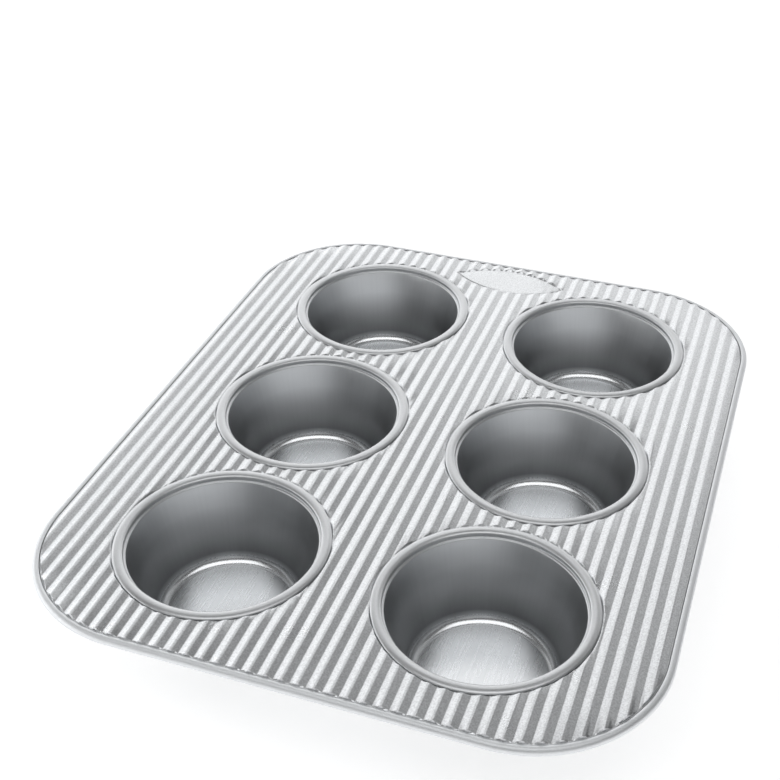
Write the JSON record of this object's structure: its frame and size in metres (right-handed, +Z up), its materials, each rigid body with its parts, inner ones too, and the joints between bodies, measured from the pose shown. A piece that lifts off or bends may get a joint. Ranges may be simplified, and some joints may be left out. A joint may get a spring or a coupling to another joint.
{
  "type": "muffin pan",
  "caption": "Fluted sheet-metal muffin pan: round drawn cups crimped into a frame sheet whose rolled edge holds a stiffening wire.",
  "frame": {"origin": "the middle of the pan's footprint, on the plane of the cup floors' undersides, on which it stands", "axes": "+X to the right across the short side, +Y to the back along the long side, +Z up"},
  "size_m": [0.234, 0.285, 0.0368],
  "materials": {
    "sheet": "light silver, satin, with a fine grain",
    "cups": "light silver, satin, smooth",
    "wire": "plain drawn steel, hidden in the rolled edge"
  },
  "bodies": {
    "root": {"frame_sheet": "sheet", "edge_wire": "wire", "cup_front_left": "cups", "cup_front_right": "cups", "cup_middle_left": "cups", "cup_middle_right": "cups", "cup_back_left": "cups", "cup_back_right": "cups"}
  },
  "joints": []
}
